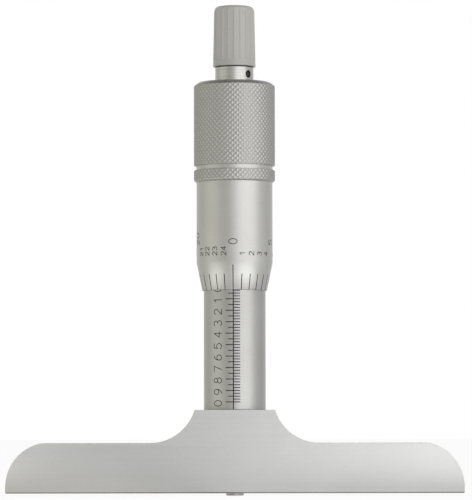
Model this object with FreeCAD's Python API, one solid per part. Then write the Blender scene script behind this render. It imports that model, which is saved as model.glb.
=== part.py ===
"""Depth micrometer, 0 to 1 inch, on a four inch base, with a ratchet stop.

The frame's origin is the centre of the base's measuring face. +X runs along the base, -Y is the
front with the scales, and +Z runs up the rod's axis. The rod stands out by REST_READING, so the
thimble is one full turn below its zero line. All sizes are in millimetres.
"""
import FreeCAD
import Part

import math
import os

# ---------------------------------------------------------------- driving dimensions
# Screw and range
TRAVEL = 25.4
SCREW_PITCH = 0.635
REST_TURNS = 1.0
END_GAP = 1.9  # thimble edge to base top at full travel
THREAD_DIAMETER = 6.9
THREAD_CLEARANCE = 0.05
THREAD_RELIEF = 0.35  # radial room for the screw below its nut
ENGAGED_THREAD = 10.5
THREAD_RUNOUT = 0.7  # screw's lower end to the guide's top at full travel
SHOULDER_GAP = 4.5  # spindle shoulder to barrel top at full travel

# Base
BASE_LENGTH = 101.6
BASE_DEPTH = 16.0
BASE_HEIGHT = 18.43
WING_HEIGHT = 11.1
WING_END_RISE = 1.4  # centre of the end arc above the measuring face
WING_END_CORNER = 0.2  # how far the end arc would pass the wing top, which leaves a faint corner
HUB_WIDTH = 17.85
NECK_RADIUS = 10.4
BASE_EDGE_BREAK = 0.3
BASE_FLOOR = 3.0  # steel left below the barrel's seat
ROD_HOLE_GAP = 0.3  # radial, round the rod

# Measuring rod
ROD_DIAMETER = 4.0
ROD_CLEARANCE = 0.03
ROD_TIP_BREAK = 0.12
ROD_END_DIAMETER = 3.0
ROD_END_LENGTH = 0.3  # threaded end above its lock nut
SETTING_NUT_HEIGHT = 1.9
LOCK_NUT_HEIGHT = 1.6
ROD_NUT_DIAMETER = 5.6
ROD_NUT_CLEARANCE = 0.1
ROD_NUT_SLOT_WIDTH = 0.8
ROD_NUT_SLOT_DEPTH = 0.6

# Sleeve and inner barrel
SLEEVE_DIAMETER = 13.8
SLEEVE_WALL = 1.05
SLEEVE_CLEARANCE = 0.04
SLEEVE_COVER = 1.1  # sleeve left under the thimble at reading zero
KEY_HOLE_DIAMETER = 1.6
SLEEVE_KEY_HEIGHT = 4.8  # above the base top
BARREL_FIT = 0.02
FINGER_STEP = 0.5
FINGER_TAPER = 0.3
FINGER_TAPER_LENGTH = 2.2
SLIT_COUNT = 4
SLIT_WIDTH = 0.7
SLIT_EXTRA = 1.6  # slit below the nut thread
ADJUSTING_NUT_GAP = 0.6
ADJUSTING_NUT_HEIGHT = 4.4
ADJUSTING_NUT_RIM = 0.6  # barrel stands above the nut
ADJUSTING_NUT_WALL = 1.1
ADJUSTING_NUT_SLOTS = 2
NUT_SLOT_WIDTH = 1.4
NUT_SLOT_DEPTH = 0.7
NUT_SLOT_HEIGHT = 1.5

# Thimble
THIMBLE_CLEARANCE = 0.08
THIMBLE_EDGE_WALL = 0.22
THIMBLE_WALL = 1.52
BEVEL_LENGTH = 6.2
KNURL_RISE = 0.62
KNURL_BAND_LENGTH = 2.7
KNURL_GROOVE_WIDTH = 1.0
KNURL_GROOVE_RISE = 0.05
KNURL_LENGTH = 17.9
TOP_CHAMFER = 0.87
TOP_CHAMFER_INSET = 1.16
TOP_WALL = 2.0

# Spindle taper
SPINDLE_WALL = 1.2
TAPER_LENGTH = 6.0
TAPER_DROP = 0.5
TAPER_FIT = 0.01
SPINDLE_END_LENGTH = 1.6
SPINDLE_END_GAP = 0.5

# Ratchet shank: spigot, collar and stem in one piece
COLLAR_DIAMETER = 8.6
COLLAR_HEIGHT = 3.4
SPIGOT_DEPTH = 2.6
SPIGOT_CLEARANCE = 0.05
SPIGOT_HOLE_CLEARANCE = 0.15
SPANNER_HOLE_DIAMETER = 1.7
SPANNER_HOLE_DEPTH = 2.0
SPANNER_HOLE_ANGLE = 47.0  # degrees to the right of the front
STEM_DIAMETER = 3.8
STEM_CLEARANCE = 0.05

# Ratchet rings and spring
RING_HEIGHT = 1.4
TOOTH_COUNT = 12
TOOTH_HEIGHT = 0.3
TOOTH_STEEP_SHARE = 0.12  # of the tooth's pitch
TOOTH_CLEARANCE = 0.02
RING_CLEARANCE = 0.06
KEY_COUNT = 2
KEY_WIDTH = 1.2
KEY_CLEARANCE = 0.06
SPRING_LENGTH = 5.4
SPRING_TURNS = 3.0
SPRING_WIRE = 0.4
SPRING_WIRE_SIDES = 6

# Grip and its core
GRIP_GAP = 0.15  # above the collar
GRIP_TOP_DIAMETER = 9.02
GRIP_BOTTOM_DIAMETER = 9.5
GRIP_LIP = 0.04
GRIP_LIP_HEIGHT = 0.45
GRIP_SHOULDER_DROP = 1.5  # end of the long taper, below the crown's middle
GRIP_RIM_INSET = 0.16
GRIP_RIM_DROP = 0.7
GRIP_CROWN_INSET = 0.91
GRIP_CROWN = 0.1
GRIP_WALL = 0.64
CAP_WALL = 1.85
CAP_GAP = 0.6
FLUTE_COUNT = 20
FLUTE_FLOOR_WIDTH = 1.0
FLUTE_DEPTH = 0.14
FLUTE_MOUTH = 0.05  # flanks run on past the wall by this much
FLUTE_START = 1.3  # plain band below the flutes
FLUTE_TURN = 9.0  # degrees, so that a ridge faces the front
CORE_WALL = 0.62
CORE_LIFT = 0.3  # core above the grip's lower edge
CORE_FIT = 0.01
CORE_WEB = 1.5
END_PLAY = 0.1
STEM_SCREW_HEAD_DIAMETER = 5.4
STEM_SCREW_HEAD = 1.3
STEM_SCREW_DIAMETER = 1.8
STEM_SCREW_LENGTH = 4.5
STEM_SCREW_SLOT_WIDTH = 0.6
STEM_SCREW_SLOT_DEPTH = 0.55

# ---------------------------------------------------------------- worked-out radii
wing_end_r = WING_HEIGHT - WING_END_RISE + WING_END_CORNER
rod_r = ROD_DIAMETER / 2
rod_bore_r = rod_r + ROD_CLEARANCE
thread_r = THREAD_DIAMETER / 2
nut_thread_r = thread_r + THREAD_CLEARANCE
sleeve_r = SLEEVE_DIAMETER / 2
sleeve_bore_r = sleeve_r - SLEEVE_WALL
barrel_r = sleeve_bore_r - SLEEVE_CLEARANCE
finger_r = barrel_r - FINGER_STEP
thimble_bore_r = sleeve_r + THIMBLE_CLEARANCE
thimble_edge_r = thimble_bore_r + THIMBLE_EDGE_WALL
thimble_r = thimble_bore_r + THIMBLE_WALL
knurl_r = thimble_r + KNURL_RISE
rod_nut_r = ROD_NUT_DIAMETER / 2
socket_r = rod_nut_r + ROD_NUT_CLEARANCE
taper_top_r = socket_r + SPINDLE_WALL
taper_low_r = taper_top_r + TAPER_DROP
spigot_r = socket_r - SPIGOT_CLEARANCE
collar_r = COLLAR_DIAMETER / 2
stem_r = STEM_DIAMETER / 2
grip_top_r = GRIP_TOP_DIAMETER / 2
grip_low_r = GRIP_BOTTOM_DIAMETER / 2
grip_bore_r = grip_top_r - FLUTE_DEPTH - GRIP_WALL
core_r = grip_bore_r - CORE_FIT
core_bore_r = core_r - CORE_WALL
ring_r = core_bore_r - RING_CLEARANCE

# ---------------------------------------------------------------- worked-out heights
rest_reading = REST_TURNS * SCREW_PITCH
travel_left = TRAVEL - rest_reading
zero_line_z = BASE_HEIGHT + END_GAP + TRAVEL
sleeve_top_z = zero_line_z + SLEEVE_COVER
nut_low_z = sleeve_top_z + ADJUSTING_NUT_GAP
nut_top_z = nut_low_z + ADJUSTING_NUT_HEIGHT
barrel_top_z = nut_top_z + ADJUSTING_NUT_RIM
nut_thread_z = barrel_top_z - ENGAGED_THREAD
guide_top_z = nut_thread_z - travel_left - THREAD_RUNOUT
edge_z = zero_line_z - rest_reading
shoulder_z = barrel_top_z + travel_left + SHOULDER_GAP
taper_top_z = shoulder_z + TAPER_LENGTH
spindle_top_z = taper_top_z + SPINDLE_END_LENGTH
top_wall_z = spindle_top_z + SPINDLE_END_GAP
thimble_top_z = top_wall_z + TOP_WALL
rod_seat_z = spindle_top_z - SPIGOT_DEPTH - ROD_END_LENGTH - LOCK_NUT_HEIGHT - SETTING_NUT_HEIGHT
lock_nut_z = rod_seat_z + SETTING_NUT_HEIGHT
rod_top_z = lock_nut_z + LOCK_NUT_HEIGHT + ROD_END_LENGTH
collar_top_z = thimble_top_z + COLLAR_HEIGHT
grip_low_z = collar_top_z + GRIP_GAP
tooth_root_z = collar_top_z + RING_HEIGHT
tooth_tip_z = tooth_root_z + TOOTH_HEIGHT
upper_ring_top_z = tooth_tip_z + TOOTH_CLEARANCE + RING_HEIGHT
spring_top_z = upper_ring_top_z + SPRING_LENGTH
core_top_z = spring_top_z + CORE_WEB
stem_top_z = core_top_z + END_PLAY
screw_head_top_z = stem_top_z + STEM_SCREW_HEAD
cap_inside_z = screw_head_top_z + CAP_GAP
grip_top_z = cap_inside_z + CAP_WALL

# Cutters run past the faces they open by this much.
OVERCUT = 1.0
AXIS = FreeCAD.Vector(0, 0, 1)
ORIGIN = FreeCAD.Vector(0, 0, 0)


# ---------------------------------------------------------------- shape helpers
def at(x, y, z):
    """A point or a direction."""
    return FreeCAD.Vector(x, y, z)


def turned(points):
    """The closed outline of (radius, height) points, turned once round the Z axis."""
    corners = [at(radius, 0, height) for radius, height in points]
    outline = Part.makePolygon(corners + [corners[0]])
    return Part.Face(outline).revolve(ORIGIN, AXIS, 360)


def cylinder(radius, low, high):
    """A solid cylinder on the Z axis between two heights."""
    return Part.makeCylinder(radius, high - low, at(0, 0, low))


def tube(outer, inner, low, high):
    """A plain tube on the Z axis between two heights."""
    return turned([(inner, low), (outer, low), (outer, high), (inner, high)])


def spaced(cutter, count, start=0.0):
    """Copies of a cutter at equal angles round the Z axis."""
    copies = []
    for number in range(count):
        copy = cutter.copy()
        copy.rotate(ORIGIN, AXIS, start + number * 360.0 / count)
        copies.append(copy)
    return copies


def bar(length, width, low, high):
    """A rectangular bar that starts on the Z axis and runs out along +X."""
    return Part.makeBox(length, width, high - low, at(0, -width / 2, low))


# ---------------------------------------------------------------- base
def base_outline(inset, depth):
    """Front outline at a depth, moved inwards by inset: long wings with round ends, swept up
    to the hub by concave arcs."""
    half = BASE_LENGTH / 2
    foot_z = inset
    hub_z = BASE_HEIGHT - inset
    end = wing_end_r - inset
    end_x = half - wing_end_r
    end_turn = math.asin((WING_HEIGHT - inset - WING_END_RISE) / end)
    neck = NECK_RADIUS + inset
    neck_z = WING_HEIGHT + NECK_RADIUS
    neck_x = HUB_WIDTH / 2 + math.sqrt(NECK_RADIUS ** 2 - (neck_z - BASE_HEIGHT) ** 2)
    neck_turn = math.acos((neck_z - hub_z) / neck)

    def corner(sign, x, z):
        return at(sign * x, depth, z)

    def on_end(sign, turn):
        return corner(sign, end_x + end * math.cos(turn), WING_END_RISE + end * math.sin(turn))

    def on_neck(sign, turn):
        return corner(sign, neck_x - neck * math.sin(turn), neck_z - neck * math.cos(turn))

    def side(sign):
        foot = corner(sign, half - inset, foot_z)
        end_low = on_end(sign, 0.0)
        end_mid = on_end(sign, end_turn / 2)
        end_high = on_end(sign, end_turn)
        neck_low = on_neck(sign, 0.0)
        neck_mid = on_neck(sign, neck_turn / 2)
        neck_high = on_neck(sign, neck_turn)
        return foot, end_low, end_mid, end_high, neck_low, neck_mid, neck_high

    left = side(-1)
    right = side(1)
    edges = [Part.LineSegment(left[0], right[0])]
    edges.append(Part.LineSegment(left[6], right[6]))
    for foot, end_low, end_mid, end_high, neck_low, neck_mid, neck_high in (left, right):
        edges.append(Part.LineSegment(foot, end_low))
        edges.append(Part.Arc(end_low, end_mid, end_high))
        edges.append(Part.LineSegment(end_high, neck_low))
        edges.append(Part.Arc(neck_low, neck_mid, neck_high))
    return Part.Wire(Part.sortEdges([edge.toShape() for edge in edges])[0])


def base_beam():
    """The hardened base, with its rim broken and a stepped bore for the barrel and the rod."""
    front = -BASE_DEPTH / 2
    back = BASE_DEPTH / 2
    full_front = base_outline(0.0, front + BASE_EDGE_BREAK)
    full_back = base_outline(0.0, back - BASE_EDGE_BREAK)
    solid = Part.Face(full_front).extrude(at(0, BASE_DEPTH - 2 * BASE_EDGE_BREAK, 0))
    solid = solid.fuse(Part.makeLoft([base_outline(BASE_EDGE_BREAK, front), full_front], True, True))
    solid = solid.fuse(Part.makeLoft([full_back, base_outline(BASE_EDGE_BREAK, back)], True, True))
    hole_r = rod_r + ROD_HOLE_GAP
    hole = turned([
        (0, -OVERCUT),
        (hole_r + BASE_EDGE_BREAK + OVERCUT, -OVERCUT),
        (hole_r, BASE_EDGE_BREAK),
        (hole_r, BASE_HEIGHT),
        (0, BASE_HEIGHT),
    ])
    bore = cylinder(barrel_r + BARREL_FIT, BASE_FLOOR, BASE_HEIGHT + OVERCUT)
    return solid.cut(hole.fuse(bore)).removeSplitter()


# ---------------------------------------------------------------- barrel and sleeve
def inner_barrel():
    """The fixed barrel: a guide bore for the rod below, and a slit, tapered nut above."""
    body = turned([
        (rod_bore_r, BASE_FLOOR),
        (barrel_r, BASE_FLOOR),
        (barrel_r, sleeve_top_z),
        (finger_r, sleeve_top_z),
        (finger_r, barrel_top_z - FINGER_TAPER_LENGTH),
        (finger_r - FINGER_TAPER, barrel_top_z),
        (nut_thread_r, barrel_top_z),
        (nut_thread_r, nut_thread_z),
        (thread_r + THREAD_RELIEF, nut_thread_z),
        (thread_r + THREAD_RELIEF, guide_top_z),
        (rod_bore_r, guide_top_z),
    ])
    slit = bar(barrel_r + OVERCUT, SLIT_WIDTH, nut_thread_z - SLIT_EXTRA, barrel_top_z + OVERCUT)
    return body.cut(spaced(slit, SLIT_COUNT, 45.0))


def adjusting_nut():
    """The round nut that closes the barrel's fingers on the screw, with spanner slots."""
    taper_start_z = barrel_top_z - FINGER_TAPER_LENGTH
    nut_r = finger_r + ADJUSTING_NUT_WALL
    drop = FINGER_TAPER * (nut_top_z - taper_start_z) / FINGER_TAPER_LENGTH
    nut = turned([
        (finger_r + BARREL_FIT, nut_low_z),
        (nut_r, nut_low_z),
        (nut_r, nut_top_z),
        (finger_r + BARREL_FIT - drop, nut_top_z),
        (finger_r + BARREL_FIT, taper_start_z),
    ])
    slot = Part.makeBox(
        NUT_SLOT_DEPTH + OVERCUT,
        NUT_SLOT_WIDTH,
        NUT_SLOT_HEIGHT + OVERCUT,
        at(nut_r - NUT_SLOT_DEPTH, -NUT_SLOT_WIDTH / 2, nut_top_z - NUT_SLOT_HEIGHT),
    )
    return nut.cut(spaced(slot, ADJUSTING_NUT_SLOTS))


def graduated_sleeve():
    """The outer sleeve, turned by a hook key in the hole at its back to set zero."""
    sleeve = tube(sleeve_r, sleeve_bore_r, BASE_HEIGHT, sleeve_top_z)
    place = at(0, 0, BASE_HEIGHT + SLEEVE_KEY_HEIGHT)
    hole = Part.makeCylinder(KEY_HOLE_DIAMETER / 2, sleeve_r + OVERCUT, place, at(0, 1, 0))
    return sleeve.cut(hole)


# ---------------------------------------------------------------- rod and spindle
def measuring_rod():
    """The ground rod, with a flat lapped tip below and a threaded end above."""
    tip_z = -rest_reading
    return turned([
        (0, tip_z),
        (rod_r - ROD_TIP_BREAK, tip_z),
        (rod_r, tip_z + ROD_TIP_BREAK),
        (rod_r, rod_seat_z),
        (ROD_END_DIAMETER / 2, rod_seat_z),
        (ROD_END_DIAMETER / 2, rod_top_z),
        (0, rod_top_z),
    ])


def rod_nut(low, height):
    """A round nut on the rod's threaded end, slotted across its top."""
    nut = tube(rod_nut_r, ROD_END_DIAMETER / 2, low, low + height)
    top = low + height
    slot = Part.makeBox(
        2 * (rod_nut_r + OVERCUT),
        ROD_NUT_SLOT_WIDTH,
        ROD_NUT_SLOT_DEPTH + OVERCUT,
        at(-rod_nut_r - OVERCUT, -ROD_NUT_SLOT_WIDTH / 2, top - ROD_NUT_SLOT_DEPTH),
    )
    return nut.cut(slot)


def spindle_screw():
    """The hollow screw: thread, shoulder, taper for the thimble and socket for the shank."""
    return turned([
        (rod_bore_r, nut_thread_z),
        (thread_r, nut_thread_z),
        (thread_r, shoulder_z),
        (taper_low_r, shoulder_z),
        (taper_top_r, taper_top_z),
        (taper_top_r, spindle_top_z),
        (socket_r, spindle_top_z),
        (socket_r, rod_seat_z),
        (rod_bore_r, rod_seat_z),
    ])


def thimble():
    """The thimble: bevelled edge, plain barrel, knurled grip bands and a taper bore on top."""
    knurl_low_z = thimble_top_z - TOP_CHAMFER - KNURL_LENGTH
    band_top_z = knurl_low_z - KNURL_GROOVE_WIDTH
    band_low_z = band_top_z - KNURL_BAND_LENGTH
    groove_r = thimble_r + KNURL_GROOVE_RISE
    return turned([
        (thimble_bore_r, edge_z),
        (thimble_edge_r, edge_z),
        (thimble_r, edge_z + BEVEL_LENGTH),
        (thimble_r, band_low_z),
        (knurl_r, band_low_z),
        (knurl_r, band_top_z),
        (groove_r, band_top_z),
        (groove_r, knurl_low_z),
        (knurl_r, knurl_low_z),
        (knurl_r, thimble_top_z - TOP_CHAMFER),
        (knurl_r - TOP_CHAMFER_INSET, thimble_top_z),
        (spigot_r + SPIGOT_HOLE_CLEARANCE, thimble_top_z),
        (spigot_r + SPIGOT_HOLE_CLEARANCE, top_wall_z),
        (taper_top_r + TAPER_FIT, top_wall_z),
        (taper_top_r + TAPER_FIT, taper_top_z),
        (taper_low_r + TAPER_FIT, shoulder_z),
        (thimble_bore_r, shoulder_z),
    ])


# ---------------------------------------------------------------- ratchet stop
def ratchet_shank():
    """Spigot, collar and stem turned from one bar, with a spanner hole in the collar."""
    shank = turned([
        (0, rod_top_z),
        (spigot_r, rod_top_z),
        (spigot_r, thimble_top_z),
        (collar_r, thimble_top_z),
        (collar_r, collar_top_z),
        (stem_r, collar_top_z),
        (stem_r, stem_top_z),
        (0, stem_top_z),
    ])
    angle = math.radians(SPANNER_HOLE_ANGLE)
    outward = at(math.sin(angle), -math.cos(angle), 0)
    start = outward * (collar_r - SPANNER_HOLE_DEPTH) + at(0, 0, thimble_top_z + COLLAR_HEIGHT / 2)
    depth = SPANNER_HOLE_DEPTH + OVERCUT
    hole = Part.makeCylinder(SPANNER_HOLE_DIAMETER / 2, depth, start, outward)
    screw_hole = cylinder(STEM_SCREW_DIAMETER / 2, stem_top_z - STEM_SCREW_LENGTH, stem_top_z)
    return shank.cut(hole.fuse(screw_hole))


def saw_tooth(low, gap):
    """One face tooth as a wedge, steep on one side, between the stem and the ring's rim."""
    pitch = 2 * math.pi / TOOTH_COUNT
    inner = stem_r - OVERCUT / 2
    outer = ring_r + OVERCUT / 2
    steep = pitch * TOOTH_STEEP_SHARE

    def section(radius):
        corners = []
        for angle, height in ((0, low), (steep, low + TOOTH_HEIGHT), (pitch, low)):
            x = radius * math.cos(angle)
            y = radius * math.sin(angle)
            corners.append(at(x, y, height + gap))
        return Part.makePolygon(corners + [corners[0]])

    return Part.makeLoft([section(inner), section(outer)], True, True)


def ring_blank(low, high):
    """A plain ring that runs on the stem and inside the grip's core."""
    return tube(ring_r, stem_r + STEM_CLEARANCE, low, high)


def lower_ratchet_ring():
    """The fixed ring on the collar, with face teeth pointing up."""
    teeth = spaced(saw_tooth(tooth_root_z, 0.0), TOOTH_COUNT)
    crown = ring_blank(tooth_root_z, tooth_tip_z)
    body = tube(ring_r, stem_r, collar_top_z, tooth_root_z)
    solid = body
    for tooth in teeth:
        solid = solid.fuse(tooth.common(crown))
    return solid.removeSplitter()


def upper_ratchet_ring():
    """The sprung ring: teeth pointing down and two keys that slide in the core's slots."""
    low = tooth_root_z + TOOTH_CLEARANCE
    body = ring_blank(low, upper_ring_top_z)
    cuts = spaced(saw_tooth(tooth_root_z, TOOTH_CLEARANCE), TOOTH_COUNT)
    key_r = core_r - RING_CLEARANCE
    key = bar(key_r, KEY_WIDTH, tooth_tip_z + TOOTH_CLEARANCE, upper_ring_top_z)
    key = key.cut(cylinder((stem_r + ring_r) / 2, low, upper_ring_top_z))
    rounded = cylinder(key_r, low, upper_ring_top_z)
    solid = body.cut(cuts)
    for one in spaced(key.common(rounded), KEY_COUNT):
        solid = solid.fuse(one)
    return solid.removeSplitter()


def ratchet_spring():
    """The compression spring between the upper ring and the core's web, of six-sided wire."""
    mean_r = (stem_r + core_bore_r) / 2
    low = upper_ring_top_z + SPRING_WIRE / 2
    rise = SPRING_LENGTH - SPRING_WIRE
    path = Part.makeHelix(rise / SPRING_TURNS, rise, mean_r)
    path.translate(at(0, 0, low))
    corners = []
    for number in range(SPRING_WIRE_SIDES + 1):
        angle = 2 * math.pi * (number + 0.5) / SPRING_WIRE_SIDES
        side = mean_r + SPRING_WIRE / 2 * math.cos(angle)
        corners.append(at(side, 0, low + SPRING_WIRE / 2 * math.sin(angle)))
    section = Part.makePolygon(corners)
    return Part.Wire(path.Edges).makePipeShell([section], True, True)


def grip_core():
    """The metal core pressed into the grip: a cup with key slots that turns on the stem."""
    low = grip_low_z + CORE_LIFT
    core = turned([
        (core_bore_r, low),
        (core_r, low),
        (core_r, core_top_z),
        (stem_r + STEM_CLEARANCE, core_top_z),
        (stem_r + STEM_CLEARANCE, spring_top_z),
        (core_bore_r, spring_top_z),
    ])
    slot_top_z = upper_ring_top_z + 2 * TOOTH_HEIGHT
    slot = bar(core_r + OVERCUT, KEY_WIDTH + 2 * KEY_CLEARANCE, low - OVERCUT, slot_top_z)
    return core.cut(spaced(slot, KEY_COUNT))


def stem_screw():
    """The slotted screw that holds the core on the stem."""
    head_r = STEM_SCREW_HEAD_DIAMETER / 2
    shank_r = STEM_SCREW_DIAMETER / 2
    screw = turned([
        (0, stem_top_z - STEM_SCREW_LENGTH),
        (shank_r, stem_top_z - STEM_SCREW_LENGTH),
        (shank_r, stem_top_z),
        (head_r, stem_top_z),
        (head_r, screw_head_top_z),
        (0, screw_head_top_z),
    ])
    slot = Part.makeBox(
        2 * (head_r + OVERCUT),
        STEM_SCREW_SLOT_WIDTH,
        STEM_SCREW_SLOT_DEPTH + OVERCUT,
        at(-head_r - OVERCUT, -STEM_SCREW_SLOT_WIDTH / 2, screw_head_top_z - STEM_SCREW_SLOT_DEPTH),
    )
    return screw.cut(slot)


def ratchet_grip():
    """The moulded grip: a tapered, low-crowned cap with flutes, a plain band and a small lip below."""
    shoulder_height = grip_top_z - GRIP_SHOULDER_DROP
    blank = turned([
        (grip_bore_r, grip_low_z),
        (grip_low_r + GRIP_LIP, grip_low_z),
        (grip_low_r, grip_low_z + GRIP_LIP_HEIGHT),
        (grip_top_r, shoulder_height),
        (grip_top_r - GRIP_RIM_INSET, grip_top_z - GRIP_RIM_DROP),
        (grip_top_r - GRIP_CROWN_INSET, grip_top_z - GRIP_CROWN),
        (0, grip_top_z),
        (0, cap_inside_z),
        (grip_bore_r, cap_inside_z),
    ])
    lean = (grip_low_r - grip_top_r) / (shoulder_height - grip_low_z - GRIP_LIP_HEIGHT)
    start_z = grip_low_z + FLUTE_START
    floor_r = grip_low_r - lean * (FLUTE_START - GRIP_LIP_HEIGHT) - FLUTE_DEPTH
    mouth = FLUTE_DEPTH + FLUTE_MOUTH
    half = FLUTE_FLOOR_WIDTH / 2
    corners = [
        (0, -half),
        (mouth, -half - mouth),
        (mouth + OVERCUT, -half - mouth),
        (mouth + OVERCUT, half + mouth),
        (mouth, half + mouth),
        (0, half),
    ]
    points = [at(floor_r + out, side, start_z) for out, side in corners]
    section = Part.Face(Part.makePolygon(points + points[:1]))
    length = grip_top_z - start_z + OVERCUT
    cutter = section.extrude(at(-lean * length, 0, length))
    return blank.cut(spaced(cutter, FLUTE_COUNT, FLUTE_TURN))


# ---------------------------------------------------------------- one file per piece
PIECES = {
    "base_beam": base_beam(),
    "inner_barrel": inner_barrel(),
    "adjusting_nut": adjusting_nut(),
    "graduated_sleeve": graduated_sleeve(),
    "measuring_rod": measuring_rod(),
    "rod_setting_nut": rod_nut(rod_seat_z, SETTING_NUT_HEIGHT),
    "rod_lock_nut": rod_nut(lock_nut_z, LOCK_NUT_HEIGHT),
    "spindle_screw": spindle_screw(),
    "thimble": thimble(),
    "ratchet_shank": ratchet_shank(),
    "lower_ratchet_ring": lower_ratchet_ring(),
    "upper_ratchet_ring": upper_ratchet_ring(),
    "ratchet_spring": ratchet_spring(),
    "grip_core": grip_core(),
    "stem_screw": stem_screw(),
    "ratchet_grip": ratchet_grip(),
}

os.makedirs("parts", exist_ok=True)
for name, shape in PIECES.items():
    shape.exportStep("parts/" + name + ".step")
    box = shape.BoundBox
    print(name, "valid", shape.isValid(), "solids", len(shape.Solids),
          "volume", round(shape.Volume, 1), "z", round(box.ZMin, 3), round(box.ZMax, 3))
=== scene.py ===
# %% [markdown]
# # Dressing a depth micrometer
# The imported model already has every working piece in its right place: base, barrel, sleeve,
# rod, hollow screw, thimble and ratchet stop. This lesson gives those pieces the surface a
# toolmaker would give them. We load them first, and keep the size of the bare model, because
# nothing added later may reach past it.

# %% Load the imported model
import math

import bpy
import numpy as np
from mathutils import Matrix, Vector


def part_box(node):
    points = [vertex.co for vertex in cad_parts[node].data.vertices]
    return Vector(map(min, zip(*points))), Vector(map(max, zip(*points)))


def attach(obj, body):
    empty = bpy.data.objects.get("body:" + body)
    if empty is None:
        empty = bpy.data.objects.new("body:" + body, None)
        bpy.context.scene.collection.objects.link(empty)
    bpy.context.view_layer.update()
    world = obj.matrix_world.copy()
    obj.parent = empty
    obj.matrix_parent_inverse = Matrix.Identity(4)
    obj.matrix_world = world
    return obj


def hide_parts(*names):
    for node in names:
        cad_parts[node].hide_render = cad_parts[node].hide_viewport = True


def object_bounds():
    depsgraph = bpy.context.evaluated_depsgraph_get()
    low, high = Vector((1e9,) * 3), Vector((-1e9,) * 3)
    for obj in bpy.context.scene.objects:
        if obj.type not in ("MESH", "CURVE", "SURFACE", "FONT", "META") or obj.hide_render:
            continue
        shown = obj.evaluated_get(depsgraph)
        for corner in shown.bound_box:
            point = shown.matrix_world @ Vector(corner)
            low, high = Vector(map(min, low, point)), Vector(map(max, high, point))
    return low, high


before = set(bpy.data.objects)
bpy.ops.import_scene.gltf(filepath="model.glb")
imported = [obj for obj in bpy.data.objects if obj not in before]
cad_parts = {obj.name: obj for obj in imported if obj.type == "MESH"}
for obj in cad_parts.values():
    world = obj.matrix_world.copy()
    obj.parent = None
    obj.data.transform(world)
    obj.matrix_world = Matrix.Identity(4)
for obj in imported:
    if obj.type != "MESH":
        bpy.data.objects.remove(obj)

cad_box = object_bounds()
print("nodes:", len(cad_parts))

# %% [markdown]
# ## Millimetres and materials
# Blender works in metres, but a micrometer is drawn in millimetres, so every size below is
# typed in millimetres and turned into metres once, when a mesh is made. Colours are typed as
# the hex codes a paint chart gives; those are encoded for a screen, and light adds up in
# linear values, so one function decodes them. A second small function adds one node to a
# material: a socket given a number keeps it, a socket given another socket is linked to it.

# %% Units, colour and one node
MM = 0.001


def linear(code):
    """Screen colour '#rrggbb' as linear red, green, blue and alpha: below 0.04045 a part is
    divided by 12.92, above it (part + 0.055) / 1.055 is raised to the power 2.4."""
    parts = np.array([int(code[i:i + 2], 16) for i in (1, 3, 5)]) / 255.0
    low = parts / 12.92
    high = ((parts + 0.055) / 1.055) ** 2.4
    return tuple(np.where(parts <= 0.04045, low, high)) + (1.0,)


def add(tree, kind, inputs=None, **settings):
    """One node of a kind, with its settings, and its inputs set to numbers or linked to sockets."""
    item = tree.nodes.new(kind)
    for key, value in settings.items():
        setattr(item, key, value)
    for key, value in (inputs or {}).items():
        if isinstance(value, bpy.types.NodeSocket):
            tree.links.new(value, item.inputs[key])
        else:
            item.inputs[key].default_value = value
    return item


def empty_material(name):
    """A material whose tree holds nothing yet."""
    material = bpy.data.materials.new(name)
    material.use_nodes = True
    material.node_tree.nodes.clear()
    return material, material.node_tree


print("mid grey #808080 is", round(linear("#808080")[0], 3), "of white")

# %% [markdown]
# ## Tool marks in metal
# Turned, ground and plated steel differ in three things: how grey they are, how far they blur
# a reflection, and which way the tool marks run. Marks are a noise squeezed along one axis:
# round a turned piece they are rings, so the noise changes fast along Z and slowly across it;
# on a ground face they run along the stroke. Real marks are some 0.02 mm apart, finer than
# a picture of the whole tool can show, so they are drawn ten times as coarse and shallow.
# A second, broad noise clouds the grey a little, as handling and plating do.

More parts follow.
